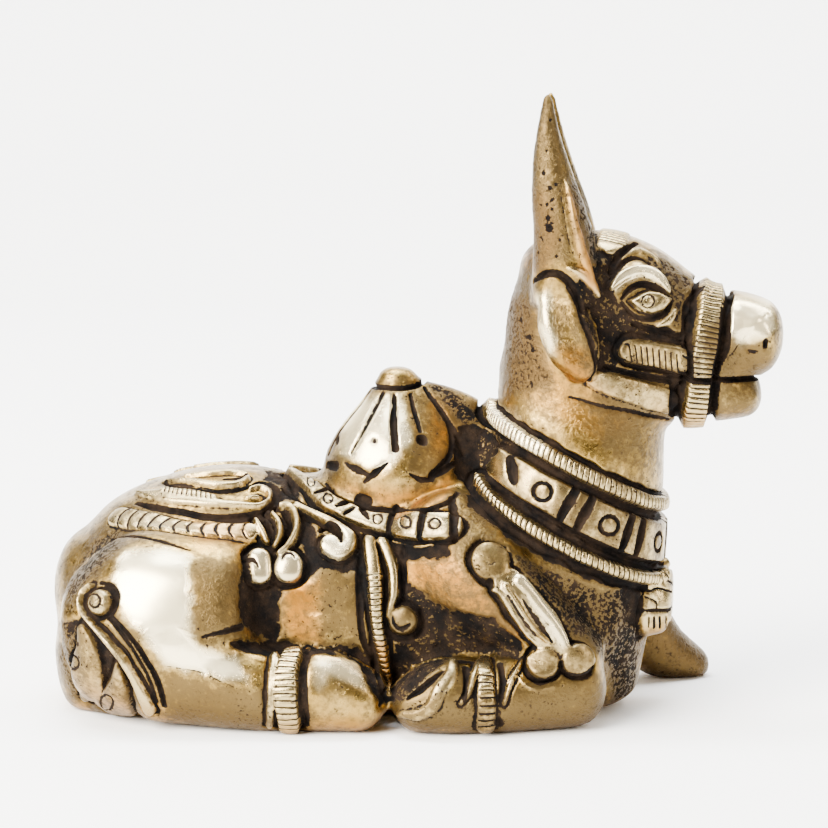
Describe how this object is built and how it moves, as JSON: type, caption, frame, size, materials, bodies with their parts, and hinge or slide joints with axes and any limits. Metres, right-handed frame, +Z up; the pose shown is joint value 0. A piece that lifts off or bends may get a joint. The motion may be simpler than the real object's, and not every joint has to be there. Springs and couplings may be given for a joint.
{
  "type": "recumbent bull figure",
  "caption": "Solid cast brass figure of a humped bull lying on folded legs, in carved collar, halter and saddle harness, that stands by its own weight.",
  "frame": {"origin": "middle of the figure's outline at the level of the surface it rests on", "axes": "+X to the front, where the muzzle points; +Y to the bull's left; +Z up"},
  "size_m": [0.0704, 0.0356, 0.0592],
  "materials": {
    "brass": "polished high spots over a dark antique patina in the carving"
  },
  "bodies": {
    "root": {"nandi_bull": "brass"}
  },
  "joints": []
}
